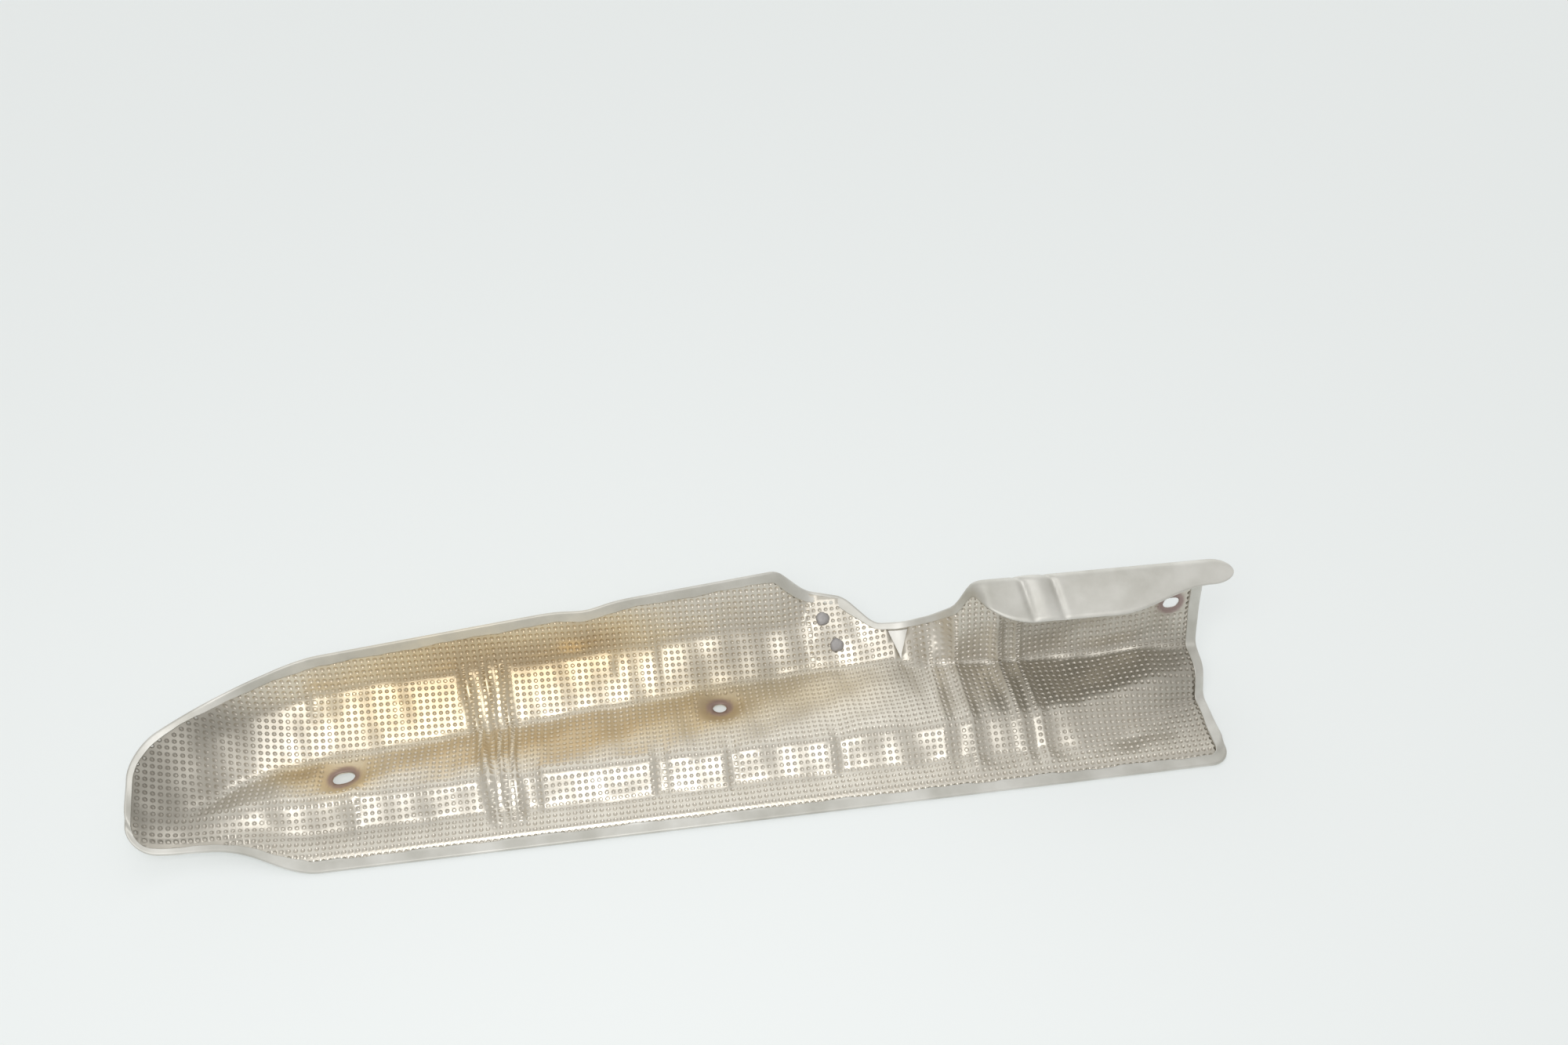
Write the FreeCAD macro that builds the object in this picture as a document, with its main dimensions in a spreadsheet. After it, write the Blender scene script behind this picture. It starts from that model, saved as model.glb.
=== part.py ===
import FreeCAD, Part
import math
import os
from FreeCAD import Placement, Rotation, Vector

doc = FreeCAD.newDocument("heat_shield")
sheet = doc.addObject("Spreadsheet::Sheet", "Sizes")

# Driving dimensions, in millimetres and degrees; a reach is measured along the sheet from the front edge
sizes = {
    "skin_wall": 0.8,
    "liner_wall": 0.5,
    "seat_gap": 0.1,
    "hem_width": 6.5,
    "liner_inset": 1.0,
    "bend_reach": 5.0,
    "line_reach": 6.0,
    "length_centre": -3.5,
    "depth_centre": 68.9,
    "corner_radius": 11.0,
    "hem_corner_gap": 0.4,
    "end_clearance": 0.3,
    "closest_stations": 5.8,
    "station_spread": 0.95,
    "lip_start": 158.0,
    "lip_full": 192.0,
    "lip_narrow": 255.0,
    "lip_neck": 277.0,
    "lip_tip": 309.0,
    "lip_width": 25.0,
    "lip_neck_width": 13.0,
    "lip_turn": 128.0,
    "lip_first_turn": 40.0,
    "lip_fold_radius": 4.5,
    "lip_wall": 1.6,
    "lip_root": 1.0,
    "lip_sink": 0.15,
    "rib_height": 1.8,
    "rib_half_width": 4.2,
    "rib_lean": -0.13,
    "rib_pivot": 65.0,
    "jog_height": 1.1,
    "round_hole_diameter": 8.2,
    "round_hole_x": 8.6,
    "round_hole_reach": 83.0,
    "oblong_hole_length": 12.5,
    "oblong_hole_width": 10.0,
    "oblong_hole_x": -206.0,
    "oblong_hole_reach": 60.0,
    "slot_length": 9.5,
    "slot_width": 7.5,
    "slot_x": 279.0,
    "slot_below_top": 25.5,
    "notch_x": 121.0,
    "notch_width": 13.5,
    "notch_depth": 22.0,
    "rivet_head_diameter": 8.0,
    "rivet_head_height": 1.3,
    "rivet_head_bevel": 1.0,
    "rivet_tail_diameter": 6.0,
    "rivet_tail_height": 0.8,
    "rivet_shank_diameter": 4.0,
    "rivet_clearance": 0.1,
    "rivet_seat_gap": 0.35,
    "upper_rivet_x": 77.0,
    "upper_rivet_below_top": 16.0,
    "lower_rivet_x": 84.0,
    "lower_rivet_below_top": 31.0,
    "cutter_length": 24.0,
}

# Stations along the length, from the scooped tail to the flanged end
stations = {
    "tail": -316.0,
    "heel": -303.0,
    "scoop": -290.0,
    "toe": -262.0,
    "shoulder": -226.0,
    "peak": 51.0,
    "seam": 68.0,
    "rivet": 91.0,
    "dip": 108.0,
    "climb": 125.0,
    "rise": 141.0,
    "brink": 156.5,
    "flange": 162.0,
    "run": 215.0,
    "end": 296.0,
}

# Character lines of the pressing: depth behind the front edge and height where the line passes a station
lines = {
    "front": {"tail": (16, 17), "heel": (17, 8.5), "scoop": (18, 7), "toe": (17, 6), "shoulder": (0, 0),
              "end": (0, 0)},
    "foot": {"tail": (24, 20.5), "heel": (25.5, 11), "scoop": (27.5, 9.2), "toe": (27, 8.2), "shoulder": (23, 2),
             "run": (22, 2), "end": (49, 2)},
    "ridge": {"tail": (32, 24), "scoop": (31, 10.5), "toe": (36, 15), "shoulder": (38, 15), "run": (41, 14.5),
              "end": (58.5, 17)},
    "valley": {"tail": (40, 27.5), "scoop": (36, 13), "toe": (61, 9), "shoulder": (68, 6.5), "peak": (100, 0.6),
               "rivet": (100.5, 1.2), "climb": (95, 3.5), "rise": (89, 7.5), "run": (83, 9), "end": (74.5, 20)},
    "crease": {"tail": (53, 33.5), "scoop": (64, 33), "toe": (88, 30), "shoulder": (102, 28), "peak": (123, 21),
               "seam": (119.5, 16.5), "rivet": (116, 14.5), "dip": (107, 10), "climb": (105, 11),
               "rise": (97, 17), "flange": (92, 22), "run": (88, 16), "end": (79, 29)},
    "top": {"tail": (66, 40), "scoop": (82, 45), "toe": (96, 49), "shoulder": (109.5, 52.5), "peak": (138, 54),
            "seam": (138, 33), "rivet": (133, 29.5), "dip": (117.5, 19.5), "climb": (115.5, 20.5),
            "rise": (110, 31), "brink": (102, 47), "flange": (103.2, 60.3), "run": (98.9, 64.6),
            "end": (89.8, 74.6)},
}

# Places of the ribs across the sheet and of the short jogs in its front slope
rib_places = {"first": -135.0, "second": -119.0, "third": -108.0, "fourth": 156.0, "fifth": 182.0, "sixth": 197.0}
jog_places = {"left": -196.0, "middle": -32.0, "centre": 10.0, "right": 71.0}


def sheet_cells():
    cells = dict(sizes)
    for station, place in stations.items():
        cells[station + "_x"] = place
    for line, passes in lines.items():
        for station, (depth, height) in passes.items():
            cells[line + "_depth_" + station] = depth
            cells[line + "_height_" + station] = height
    for name, place in rib_places.items():
        cells[name + "_rib_x"] = place
    for name, place in jog_places.items():
        cells[name + "_jog_x"] = place
    return cells


for row, (alias, value) in enumerate(sheet_cells().items(), 1):
    sheet.set("A%d" % row, alias)
    sheet.set("B%d" % row, str(value))
    sheet.setAlias("B%d" % row, alias)
doc.recompute()
size = {alias: float(getattr(sheet, alias)) for alias in sheet_cells()}

# What follows from the driving dimensions
hem_fold_radius = size["skin_wall"] + size["liner_wall"] / 2 + size["seat_gap"]
hem_top = 2 * hem_fold_radius
liner_seat = size["skin_wall"] + size["seat_gap"]
liner_top = liner_seat + size["liner_wall"]
hem_seat = size["skin_wall"] * 0.75
line_knots = {
    line: [(size[s + "_x"], Vector(0, size[line + "_depth_" + s], size[line + "_height_" + s])) for s in passes]
    for line, passes in lines.items()
}
easing = [step / 4 for step in range(-4, 5)]
rib_share = {"front": 0.0, "foot": 0.6, "ridge": 1.0, "valley": 1.0, "crease": 0.8, "top": 0.0}
jog_share = {"front": 0.0, "foot": 0.5, "ridge": 1.0, "valley": 0.0, "crease": 0.0, "top": 0.0}


# Straight from knot to knot, and straight on past the first and the last
def interpolate(knots, place):
    for (start, low), (stop, high) in zip(knots, knots[1:]):
        if place <= stop:
            break
    return low + (high - low) * ((place - start) / (stop - start))


# The same with its corners rounded, as the mean over a stretch of twice the reach
def eased(knots, place, reach):
    total = Vector()
    for shift in easing:
        total += interpolate(knots, place + shift * reach)
    return total * (1 / len(easing))


# A value that changes between the knots and holds outside them
def ramp(place, *knots):
    inside = min(max(place, knots[0][0]), knots[-1][0])
    return interpolate(knots, inside)


def normal_to(start, stop):
    along = (stop - start).normalize()
    return Vector(0, -along.z, along.y)


# A chain of corners moved to a height above itself, with mitred corners
def raised(chain, height):
    normals = [normal_to(start, stop) for start, stop in zip(chain, chain[1:])]
    moved = [chain[0] + normals[0] * height]
    for corner, before, after in zip(chain[1:], normals, normals[1:]):
        moved.append(corner + (before + after) * (height / (1 + before.dot(after))))
    moved.append(chain[-1] + normals[-1] * height)
    return moved


# The chain with its two ends drawn in along their facets
def drawn_in(chain, front_inset, top_inset):
    front = (chain[1] - chain[0]).normalize() * front_inset
    top = (chain[-2] - chain[-1]).normalize() * top_inset
    return [chain[0] + front] + chain[1:-1] + [chain[-1] + top]


# The chain squeezed along itself between two distances from its front end
def squeezed(chain, start, stop):
    knots = [(0.0, chain[0])]
    for before, corner in zip(chain, chain[1:]):
        knots.append((knots[-1][0] + before.distanceToPoint(corner), corner))
    share = (knots[-1][0] - start - stop) / knots[-1][0]
    return [interpolate(knots, start + distance * share) for distance, _ in knots]


# Height that the ribs and jogs add at a corner
def relief(x, line, distance):
    height = 0.0
    for name in rib_places:
        lean = size["rib_lean"] * (distance - size["rib_pivot"])
        across = (x - size[name + "_rib_x"] - lean) / size["rib_half_width"]
        height += rib_share[line] * size["rib_height"] * math.exp(-across ** 2)
    for name in jog_places:
        across = (x - size[name + "_jog_x"]) / size["rib_half_width"]
        height += jog_share[line] * size["jog_height"] * math.exp(-across ** 2)
    return height


# How far a rounded corner of the outline draws the edge in at x
def corner_trim(x, end):
    radius = size["corner_radius"]
    over = max(radius - abs(x - end), 0.0)
    return over ** 2 / radius


# Corners of the outer face at x, from the front edge to the top
def section_chain(x):
    plain = [eased(line_knots[line], x, size["line_reach"]) for line in lines]
    across = x - size["length_centre"]
    chain = [Vector(across, corner.y - size["depth_centre"], corner.z) for corner in plain]
    distance = 0.0
    lifted = [chain[0]]
    for line, before, corner, after in zip(list(lines)[1:], chain, chain[1:], chain[2:] + chain[-1:]):
        distance += before.distanceToPoint(corner)
        lifted.append(corner + normal_to(before, after) * relief(x, line, distance))
    tail_trim = corner_trim(x, size["tail_x"])
    return drawn_in(squeezed(lifted, tail_trim, tail_trim), corner_trim(x, size["end_x"]), 0.0)


# Points along a chain, with two short flats round each corner
def bent(chain):
    points = [chain[0]]
    for before, corner, after in zip(chain, chain[1:], chain[2:]):
        enter = corner + (before - corner) * min(size["bend_reach"] / before.distanceToPoint(corner), 0.45)
        leave = corner + (after - corner) * min(size["bend_reach"] / after.distanceToPoint(corner), 0.45)
        points += [enter, (enter + leave) * 0.25 + corner * 0.5, leave]
    return points + [chain[-1]]


def closed(points):
    return Part.makePolygon(points + points[:1])


# Width of the hem along the top edge, which gives way to the root of the lip
def top_hem_width(x):
    return ramp(x, (size["lip_start"], size["hem_width"]), (size["lip_full"], size["lip_root"]))


# From the rim of a hem round its free edge to its inside corner
def hem_points(end, inward, normal, width):
    wall = size["skin_wall"]
    rim = end + normal * hem_top
    under = rim - normal * wall
    return [rim, rim + inward * width, under + inward * width, under + inward * wall]


# Closed section of the outer skin with a hem along the front and the top
def skin_section(x):
    outer = section_chain(x)
    front_in = (outer[1] - outer[0]).normalize()
    top_in = (outer[-2] - outer[-1]).normalize()
    front = hem_points(outer[0], front_in, normal_to(outer[0], outer[1]), size["hem_width"])
    top = hem_points(outer[-1], top_in, normal_to(outer[-2], outer[-1]), top_hem_width(x))
    inner = drawn_in(raised(outer, size["skin_wall"]), size["skin_wall"], size["skin_wall"])
    return closed(bent(outer) + top + bent(inner[::-1]) + front[::-1])


# Closed section of a plain sheet between two heights above the outer face
def sheet_section(chain, low, high):
    return closed(bent(raised(chain, low)) + bent(raised(chain, high))[::-1])


def liner_section(x):
    inset = size["skin_wall"] + size["liner_inset"]
    return sheet_section(drawn_in(section_chain(x), inset, inset), liner_seat, liner_top)


# Closed sections of the end hems, which lie between the hems of the front and the top
def tail_hem_section(x):
    inset = size["hem_width"] + size["hem_corner_gap"]
    return sheet_section(squeezed(section_chain(x), inset, inset), hem_seat, hem_top)


def end_hem_section(x):
    chain = drawn_in(section_chain(x), size["hem_width"] + size["hem_corner_gap"], size["lip_root"] * 2)
    return sheet_section(chain, hem_seat, hem_top)


# Closed section of the lip: a root in the top of the wall, a round fold and a free flange
def lip_section(x):
    outer = section_chain(x)
    out = (outer[-1] - outer[-2]).normalize()
    normal = normal_to(outer[-2], outer[-1])
    turn = math.radians(ramp(x, (size["lip_start"], size["lip_first_turn"]), (size["lip_full"], size["lip_turn"])))
    tip_share = ramp(x, (size["end_x"], 0.0), (size["lip_tip"], 1.0))
    width = ramp(x, (size["lip_start"], size["lip_root"]), (size["lip_full"], size["lip_width"]),
                 (size["lip_narrow"], size["lip_width"]), (size["lip_neck"], size["lip_neck_width"]))
    width = size["lip_root"] + (width - size["lip_root"]) * math.sqrt(1 - tip_share ** 2)
    onward = out * math.cos(turn) + normal * math.sin(turn)
    centre = outer[-1] + normal * size["lip_fold_radius"]
    rounds = []
    for radius in (size["lip_fold_radius"] - size["lip_sink"], size["lip_fold_radius"] - size["lip_wall"]):
        angles = (0.0, turn / 2, turn)
        arc = [centre - normal * radius * math.cos(angle) + out * radius * math.sin(angle) for angle in angles]
        rounds.append([arc[0] - out * size["lip_root"]] + arc + [arc[2] + onward * width])
    outside, inside = rounds
    return Part.Wire([
        Part.makeLine(outside[0], outside[1]),
        Part.Arc(*outside[1:4]).toShape(),
        Part.makeLine(outside[3], outside[4]),
        Part.makeLine(outside[4], inside[4]),
        Part.makeLine(inside[4], inside[3]),
        Part.Arc(*inside[3:0:-1]).toShape(),
        Part.makeLine(inside[1], inside[0]),
        Part.makeLine(inside[0], outside[0]),
    ])


# Stations from start to stop, close together near the features and wider apart elsewhere
def places(start, stop):
    features = [size[name + "_x"] for name in stations]
    features += [size[name + "_rib_x"] for name in rib_places]
    found = [start]
    while found[-1] < stop:
        nearest = min(abs(found[-1] - feature) for feature in features)
        found.append(found[-1] + size["closest_stations"] + size["station_spread"] * nearest)
    share = (stop - start) / (found[-1] - start)
    return [start + (place - start) * share for place in found]


def lofted(name, section, found):
    blank = doc.addObject("Part::Feature", name)
    blank.Shape = Part.makeLoft([section(x) for x in found], True, True)
    return blank


# Point on the outer face at a distance along the sheet from the front edge, and the normal there
def spot(x, reach):
    chain = section_chain(x)
    for start, stop in zip(chain, chain[1:]):
        span = start.distanceToPoint(stop)
        if reach <= span:
            break
        reach -= span
    return start + (stop - start) * (reach / span), normal_to(start, stop)


def sheet_length(x):
    chain = section_chain(x)
    return sum(start.distanceToPoint(stop) for start, stop in zip(chain, chain[1:]))


# Frame on the sheet: first axis along the length, third axis out of the dimpled side
def seat(x, reach, offset=0.0):
    point, normal = spot(x, reach)
    return Placement(point + normal * offset, Rotation(Vector(1, 0, 0), Vector(), normal, "ZXY"))


def bound(kind, name, placement, **expressions):
    piece = doc.addObject(kind, name)
    for field, expression in expressions.items():
        piece.setExpression(field, expression)
    piece.Placement = placement
    return piece


def joined(name, pieces):
    whole = doc.addObject("Part::MultiFuse", name)
    whole.Shapes = pieces
    return whole


# A hole with straight sides and round ends, its long way along the part
def oblong_cutter(name, length, width, placement):
    half_straight = (size[length] - size[width]) / 2
    low = Vector(-half_straight, -size[width] / 2, -size["cutter_length"] / 2)
    middle = bound("Part::Box", name + "_middle", placement * Placement(low, Rotation()),
                   Length="Sizes.%s - Sizes.%s" % (length, width), Width="Sizes." + width,
                   Height="Sizes.cutter_length")
    rounds = []
    for side, shift in (("left", -half_straight), ("right", half_straight)):
        centre = Vector(shift, 0, -size["cutter_length"] / 2)
        rounds.append(bound("Part::Cylinder", name + "_" + side, placement * Placement(centre, Rotation()),
                            Radius="Sizes.%s / 2" % width, Height="Sizes.cutter_length"))
    return joined(name, [middle] + rounds)


def round_cutter(name, radius, x, reach):
    return bound("Part::Cylinder", name, seat(x, reach, -size["cutter_length"] / 2),
                 Radius=radius, Height="Sizes.cutter_length")


# Outer skin with its hems and lip, before the holes
liner_start = size["tail_x"] + size["hem_width"] + size["end_clearance"]
liner_stop = size["end_x"] - size["hem_width"] - size["end_clearance"]
body_places = places(liner_start, liner_stop)
tail_places = [size["tail_x"] + size["hem_width"] * share for share in (0.0, 0.5, 1.0)]
end_places = [size["end_x"] - size["hem_width"] * share for share in (1.0, 0.5, 0.0)]
skin_places = tail_places + body_places + end_places
tip_reach = size["lip_tip"] - size["end_x"]
lip_places = [size["lip_start"]] + [x for x in skin_places if x > size["lip_start"] + 1]
lip_places += [size["end_x"] + tip_reach * math.sin(math.radians(angle)) for angle in (18, 36, 54, 72, 90)]
skin_blank = joined("skin_blank", [
    lofted("skin_sheet", skin_section, skin_places),
    lofted("tail_hem", tail_hem_section, tail_places),
    lofted("end_hem", end_hem_section, end_places),
    lofted("lip", lip_section, lip_places),
])
liner_blank = lofted("liner_sheet", liner_section, body_places)

# Holes through both sheets, and the notch in the liner alone
slot_reach = sheet_length(size["slot_x"]) - size["slot_below_top"]
rivet_reach = {
    name: sheet_length(size[name + "_rivet_x"]) - size[name + "_rivet_below_top"] for name in ("upper", "lower")
}
hole_cutters = [
    round_cutter("round_hole", "Sizes.round_hole_diameter / 2", size["round_hole_x"], size["round_hole_reach"]),
    oblong_cutter("oblong_hole", "oblong_hole_length", "oblong_hole_width",
                  seat(size["oblong_hole_x"], size["oblong_hole_reach"])),
    oblong_cutter("wall_slot", "slot_length", "slot_width", seat(size["slot_x"], slot_reach)),
]
for name, reach in rivet_reach.items():
    hole_cutters.append(round_cutter(name + "_rivet_hole", "Sizes.rivet_shank_diameter / 2 + Sizes.rivet_clearance",
                                     size[name + "_rivet_x"], reach))
holes = joined("holes", hole_cutters)
notch_seat = seat(size["notch_x"], sheet_length(size["notch_x"])) * Placement(
    Vector(size["notch_width"] / 2, 0, -size["cutter_length"] / 2), Rotation(Vector(0, 0, 1), 180))
notch = bound("Part::Wedge", "notch", notch_seat, Xmax="Sizes.notch_width", Ymax="Sizes.notch_depth",
              Zmax="Sizes.cutter_length", X2min="Sizes.notch_width / 2", X2max="Sizes.notch_width / 2",
              Z2max="Sizes.cutter_length")
for field in ("Xmin", "Ymin", "Zmin", "Z2min"):
    setattr(notch, field, 0)

outer_skin = doc.addObject("Part::Cut", "outer_skin")
outer_skin.Base = skin_blank
outer_skin.Tool = holes
dimpled_liner = doc.addObject("Part::Cut", "dimpled_liner")
dimpled_liner.Base = liner_blank
dimpled_liner.Tool = joined("liner_cuts", [holes, notch])

# Rivets: a shank, a low bevelled head on the liner and a flat tail under the skin
rivet_list = []
head_seat = liner_top + size["rivet_seat_gap"]
for name, reach in rivet_reach.items():
    x = size[name + "_rivet_x"]
    tail_seat = -size["rivet_seat_gap"] - size["rivet_tail_height"]
    rivet_list.append(joined(name + "_rivet", [
        bound("Part::Cone", name + "_head", seat(x, reach, head_seat), Radius1="Sizes.rivet_head_diameter / 2",
              Radius2="Sizes.rivet_head_diameter / 2 - Sizes.rivet_head_bevel", Height="Sizes.rivet_head_height"),
        bound("Part::Cylinder", name + "_shank", seat(x, reach, tail_seat),
              Radius="Sizes.rivet_shank_diameter / 2",
              Height="Sizes.rivet_tail_height + Sizes.skin_wall + Sizes.seat_gap + Sizes.liner_wall"
                     " + 2 * Sizes.rivet_seat_gap + Sizes.rivet_head_height / 2"),
        bound("Part::Cylinder", name + "_tail", seat(x, reach, tail_seat),
              Radius="Sizes.rivet_tail_diameter / 2", Height="Sizes.rivet_tail_height"),
    ]))
rivets = doc.addObject("Part::Compound", "rivets")
rivets.Links = rivet_list

doc.recompute()
for piece in doc.Objects:
    if "Invalid" in piece.State or "Error" in piece.State:
        raise RuntimeError("%s did not build: %s" % (piece.Label, piece.State))

os.makedirs("parts", exist_ok=True)
for piece in (outer_skin, dimpled_liner, rivets):
    piece.Label = piece.Name
    if piece.Shape.isNull() or not piece.Shape.isValid():
        raise RuntimeError(piece.Label + " has no sound shape")
    box = piece.Shape.BoundBox
    print(piece.Label, len(piece.Shape.Solids), "solids", len(piece.Shape.Faces), "faces", box)
    piece.Shape.exportStep("parts/" + piece.Label + ".step")
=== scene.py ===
import bpy
import numpy as np
from mathutils import Matrix, Vector


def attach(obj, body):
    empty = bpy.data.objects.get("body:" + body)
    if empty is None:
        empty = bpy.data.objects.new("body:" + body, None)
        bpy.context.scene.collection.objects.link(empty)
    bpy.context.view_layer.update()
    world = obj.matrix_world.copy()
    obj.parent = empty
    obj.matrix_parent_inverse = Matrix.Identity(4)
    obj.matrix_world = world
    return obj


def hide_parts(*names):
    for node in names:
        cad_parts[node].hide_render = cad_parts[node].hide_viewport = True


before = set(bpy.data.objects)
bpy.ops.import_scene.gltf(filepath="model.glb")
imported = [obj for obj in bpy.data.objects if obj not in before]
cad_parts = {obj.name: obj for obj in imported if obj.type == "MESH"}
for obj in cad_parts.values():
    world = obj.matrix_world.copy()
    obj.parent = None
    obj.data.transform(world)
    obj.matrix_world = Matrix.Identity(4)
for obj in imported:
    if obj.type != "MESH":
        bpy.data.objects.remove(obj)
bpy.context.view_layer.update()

metre = 0.001

# the pressing both sheets share, in millimetres: depth behind the front edge and height of each line at its stations
pressing = {
    "stations": {"tail": -316, "heel": -303, "scoop": -290, "toe": -262, "shoulder": -226, "peak": 51, "seam": 68,
                 "rivet": 91, "dip": 108, "climb": 125, "rise": 141, "brink": 154.5, "flange": 158.5, "run": 215,
                 "end": 296},
    "lines": {
        "front": {"tail": (16, 17), "heel": (17, 8.5), "scoop": (18, 7), "toe": (17, 6), "shoulder": (0, 0),
                  "end": (0, 0)},
        "foot": {"tail": (24, 20.5), "heel": (25.5, 11), "scoop": (27.5, 9.2), "toe": (27, 8.2),
                 "shoulder": (23, 2), "run": (22, 2), "end": (49, 2)},
        "ridge": {"tail": (32, 24), "scoop": (31, 10.5), "toe": (36, 15), "shoulder": (38, 15), "run": (41, 14.5),
                  "end": (58.5, 17)},
        "valley": {"tail": (40, 27.5), "scoop": (36, 13), "toe": (61, 9), "shoulder": (68, 6.5), "peak": (100, 0.6),
                   "rivet": (100.5, 1.2), "climb": (95, 3.5), "rise": (89, 7.5), "run": (83, 9), "end": (74.5, 20)},
        "crease": {"tail": (53, 33.5), "scoop": (64, 33), "toe": (88, 30), "shoulder": (102, 28), "peak": (123, 21),
                   "seam": (119.5, 16.5), "rivet": (116, 14.5), "dip": (107, 10), "climb": (105, 11),
                   "rise": (97, 17), "flange": (92, 22), "run": (88, 16), "end": (79, 29)},
        "top": {"tail": (66, 40), "scoop": (82, 45), "toe": (96, 49), "shoulder": (109.5, 52.5), "peak": (138, 54),
                "seam": (138, 33), "rivet": (133, 29.5), "dip": (117.5, 19.5), "climb": (115.5, 20.5),
                "rise": (110, 31), "brink": (101.4, 49), "flange": (103.2, 62.0), "run": (98.9, 65.9),
                "end": (89.8, 74.6)},
    },
    "lineReach": 6.0,
    "frontReach": 3.0,
    "topReach": 4.0,
    "tailReach": 9.0,
    "tailReachFade": (20.0, 60.0),
    "lineSamples": 11,
    "bendReach": 4.0,
    "bendSamples": 9,
    "slopeStep": 0.3,
    "tailCorner": 15.0,
    "endCorner": 11.0,
    "topDent": {"x": -64.0, "depth": 2.6, "halfWidth": 13.0},
    "lengthCentre": -3.5,
    "depthCentre": 68.9,
    "ribs": {"places": ((-128.5, -0.165, 3.3, 3.4), (-119.0, -0.12, 2.4, 2.4), (-112.0, -0.08, 2.8, 2.6),
                        (136.0, 0.03, 1.4, 4.5), (151.5, 0.01, 2.5, 4.0), (179.0, -0.04, 2.6, 3.6),
                        (191.0, -0.035, 2.3, 3.2)),
             "pivot": 65.0, "from": 10.0, "full": 22.0, "fading": 116.0, "to": 138.0},
    "blocks": {"edges": ((-196.0, -1.1), (-97.0, 1.4), (-33.0, -1.6), (-26.0, 1.4), (9.0, -1.7), (14.0, 1.3),
                         (70.5, -1.4), (76.0, 1.0)),
               "reach": 2.2, "from": 18.0, "full": 27.0, "fading": 44.0, "to": 58.0},
    "dents": ((-48.0, 118.0, 4.0, 9.0, -1.3), (-222.5, 112.0, 3.0, 11.0, -0.9), (-72.0, 140.0, 11.0, 9.0, 1.1),
              (-22.0, 124.0, 3.0, 22.0, -0.9), (146.0, 72.0, 9.0, 13.0, -1.5), (226.0, 72.0, 24.0, 12.0, -1.8),
              (257.0, 64.0, 13.0, 14.0, 2.2), (216.0, 26.0, 17.0, 5.0, 1.5), (242.0, 98.0, 30.0, 6.0, 1.0),
              (-275.0, 70.0, 16.0, 10.0, 1.2), (95.0, 52.0, 16.0, 8.0, 0.8), (-170.0, 112.0, 22.0, 7.0, 0.9)),
    "pads": {"places": ((8.6, 83.0), (-206.0, 60.0)), "depth": 1.7, "flat": 7.5, "reach": 17.0},
    "brim": {"height": 1.5, "from": 5.5, "to": 9.5, "fade": 26.0},
    "wobble": {"height": 0.28, "still": 8.0, "free": 24.0,
               "waves": ((0.17, 0.09, 0.0), (0.11, -0.21, 1.7), (0.31, 0.05, 4.0))},
}
# the holes through both sheets: place along the length, unrolled depth behind the front or below the top edge,
# half the straight side, radius, and cells left out round it
holes = {
    "centre": {"x": 8.6, "reach": 83.0, "half": 0.0, "radius": 4.1, "pad": 3},
    "oblong": {"x": -206.0, "reach": 60.0, "half": 1.25, "radius": 5.0, "pad": 3},
    "slot": {"x": 279.0, "below": 25.5, "half": 1.0, "radius": 3.75, "pad": 2},
}

stationX = pressing["stations"]
tailX, endX = stationX["tail"], stationX["end"]
lineNames = list(pressing["lines"])


def smooth(value, low, high):
    # cubic ease from 0 at low to 1 at high
    share = np.clip((value - low) / (high - low), 0, 1)
    return share * share * (3 - 2 * share)


def bell(value, width):
    # 1 at zero, falling off as the square's exponential
    return np.exp(-(value / width) ** 2)


def linePlace(name, x):
    # straight from knot to knot and on past the ends, averaged over the reach each side of x
    passes = pressing["lines"][name]
    knotX = np.array([stationX[s] for s in passes], float)
    knots = np.array(list(passes.values()), float)
    before, after = pressing["tailReachFade"]
    tailward = 1 - smooth(x, stationX["shoulder"] - before, stationX["shoulder"] + after)
    reach = pressing.get(name + "Reach", pressing["lineReach"]) + pressing["tailReach"] * tailward
    at = x[..., None] + np.linspace(-1, 1, pressing["lineSamples"]) * reach[..., None]
    k = np.clip(np.searchsorted(knotX, at) - 1, 0, len(knotX) - 2)
    share = ((at - knotX[k]) / (knotX[k + 1] - knotX[k]))[..., None]
    return (knots[k] * (1 - share) + knots[k + 1] * share).mean(-2)


def corners(x):
    # the six corners of the section at x, as depth and height
    return np.stack([linePlace(name, x) for name in lineNames], -2)


def frontDepth(x):
    return linePlace("front", x)[..., 0]


def sheetLength(x):
    return np.linalg.norm(np.diff(corners(x), axis=-2), axis=-1).sum(-1)


def section(x, t):
    # walk along the section's straight runs to arc length t, averaged over the bend's reach each side
    c = corners(x)
    steps = np.diff(c, axis=-2)
    lengths = np.linalg.norm(steps, axis=-1)
    starts = np.cumsum(lengths, -1) - lengths
    samples, last = pressing["bendSamples"], len(lineNames) - 2
    at = t[..., None] + np.linspace(-1, 1, samples) * pressing["bendReach"]
    place = np.repeat(c[..., :1, :], samples, -2)
    for k in range(last + 1):
        walked = at - starts[..., k, None]
        walked = walked if k == 0 else np.maximum(walked, 0)
        walked = walked if k == last else np.minimum(walked, lengths[..., k, None])
        place = place + walked[..., None] * (steps[..., k, :] / lengths[..., k, None])[..., None, :]
    return place.mean(-2)


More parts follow.
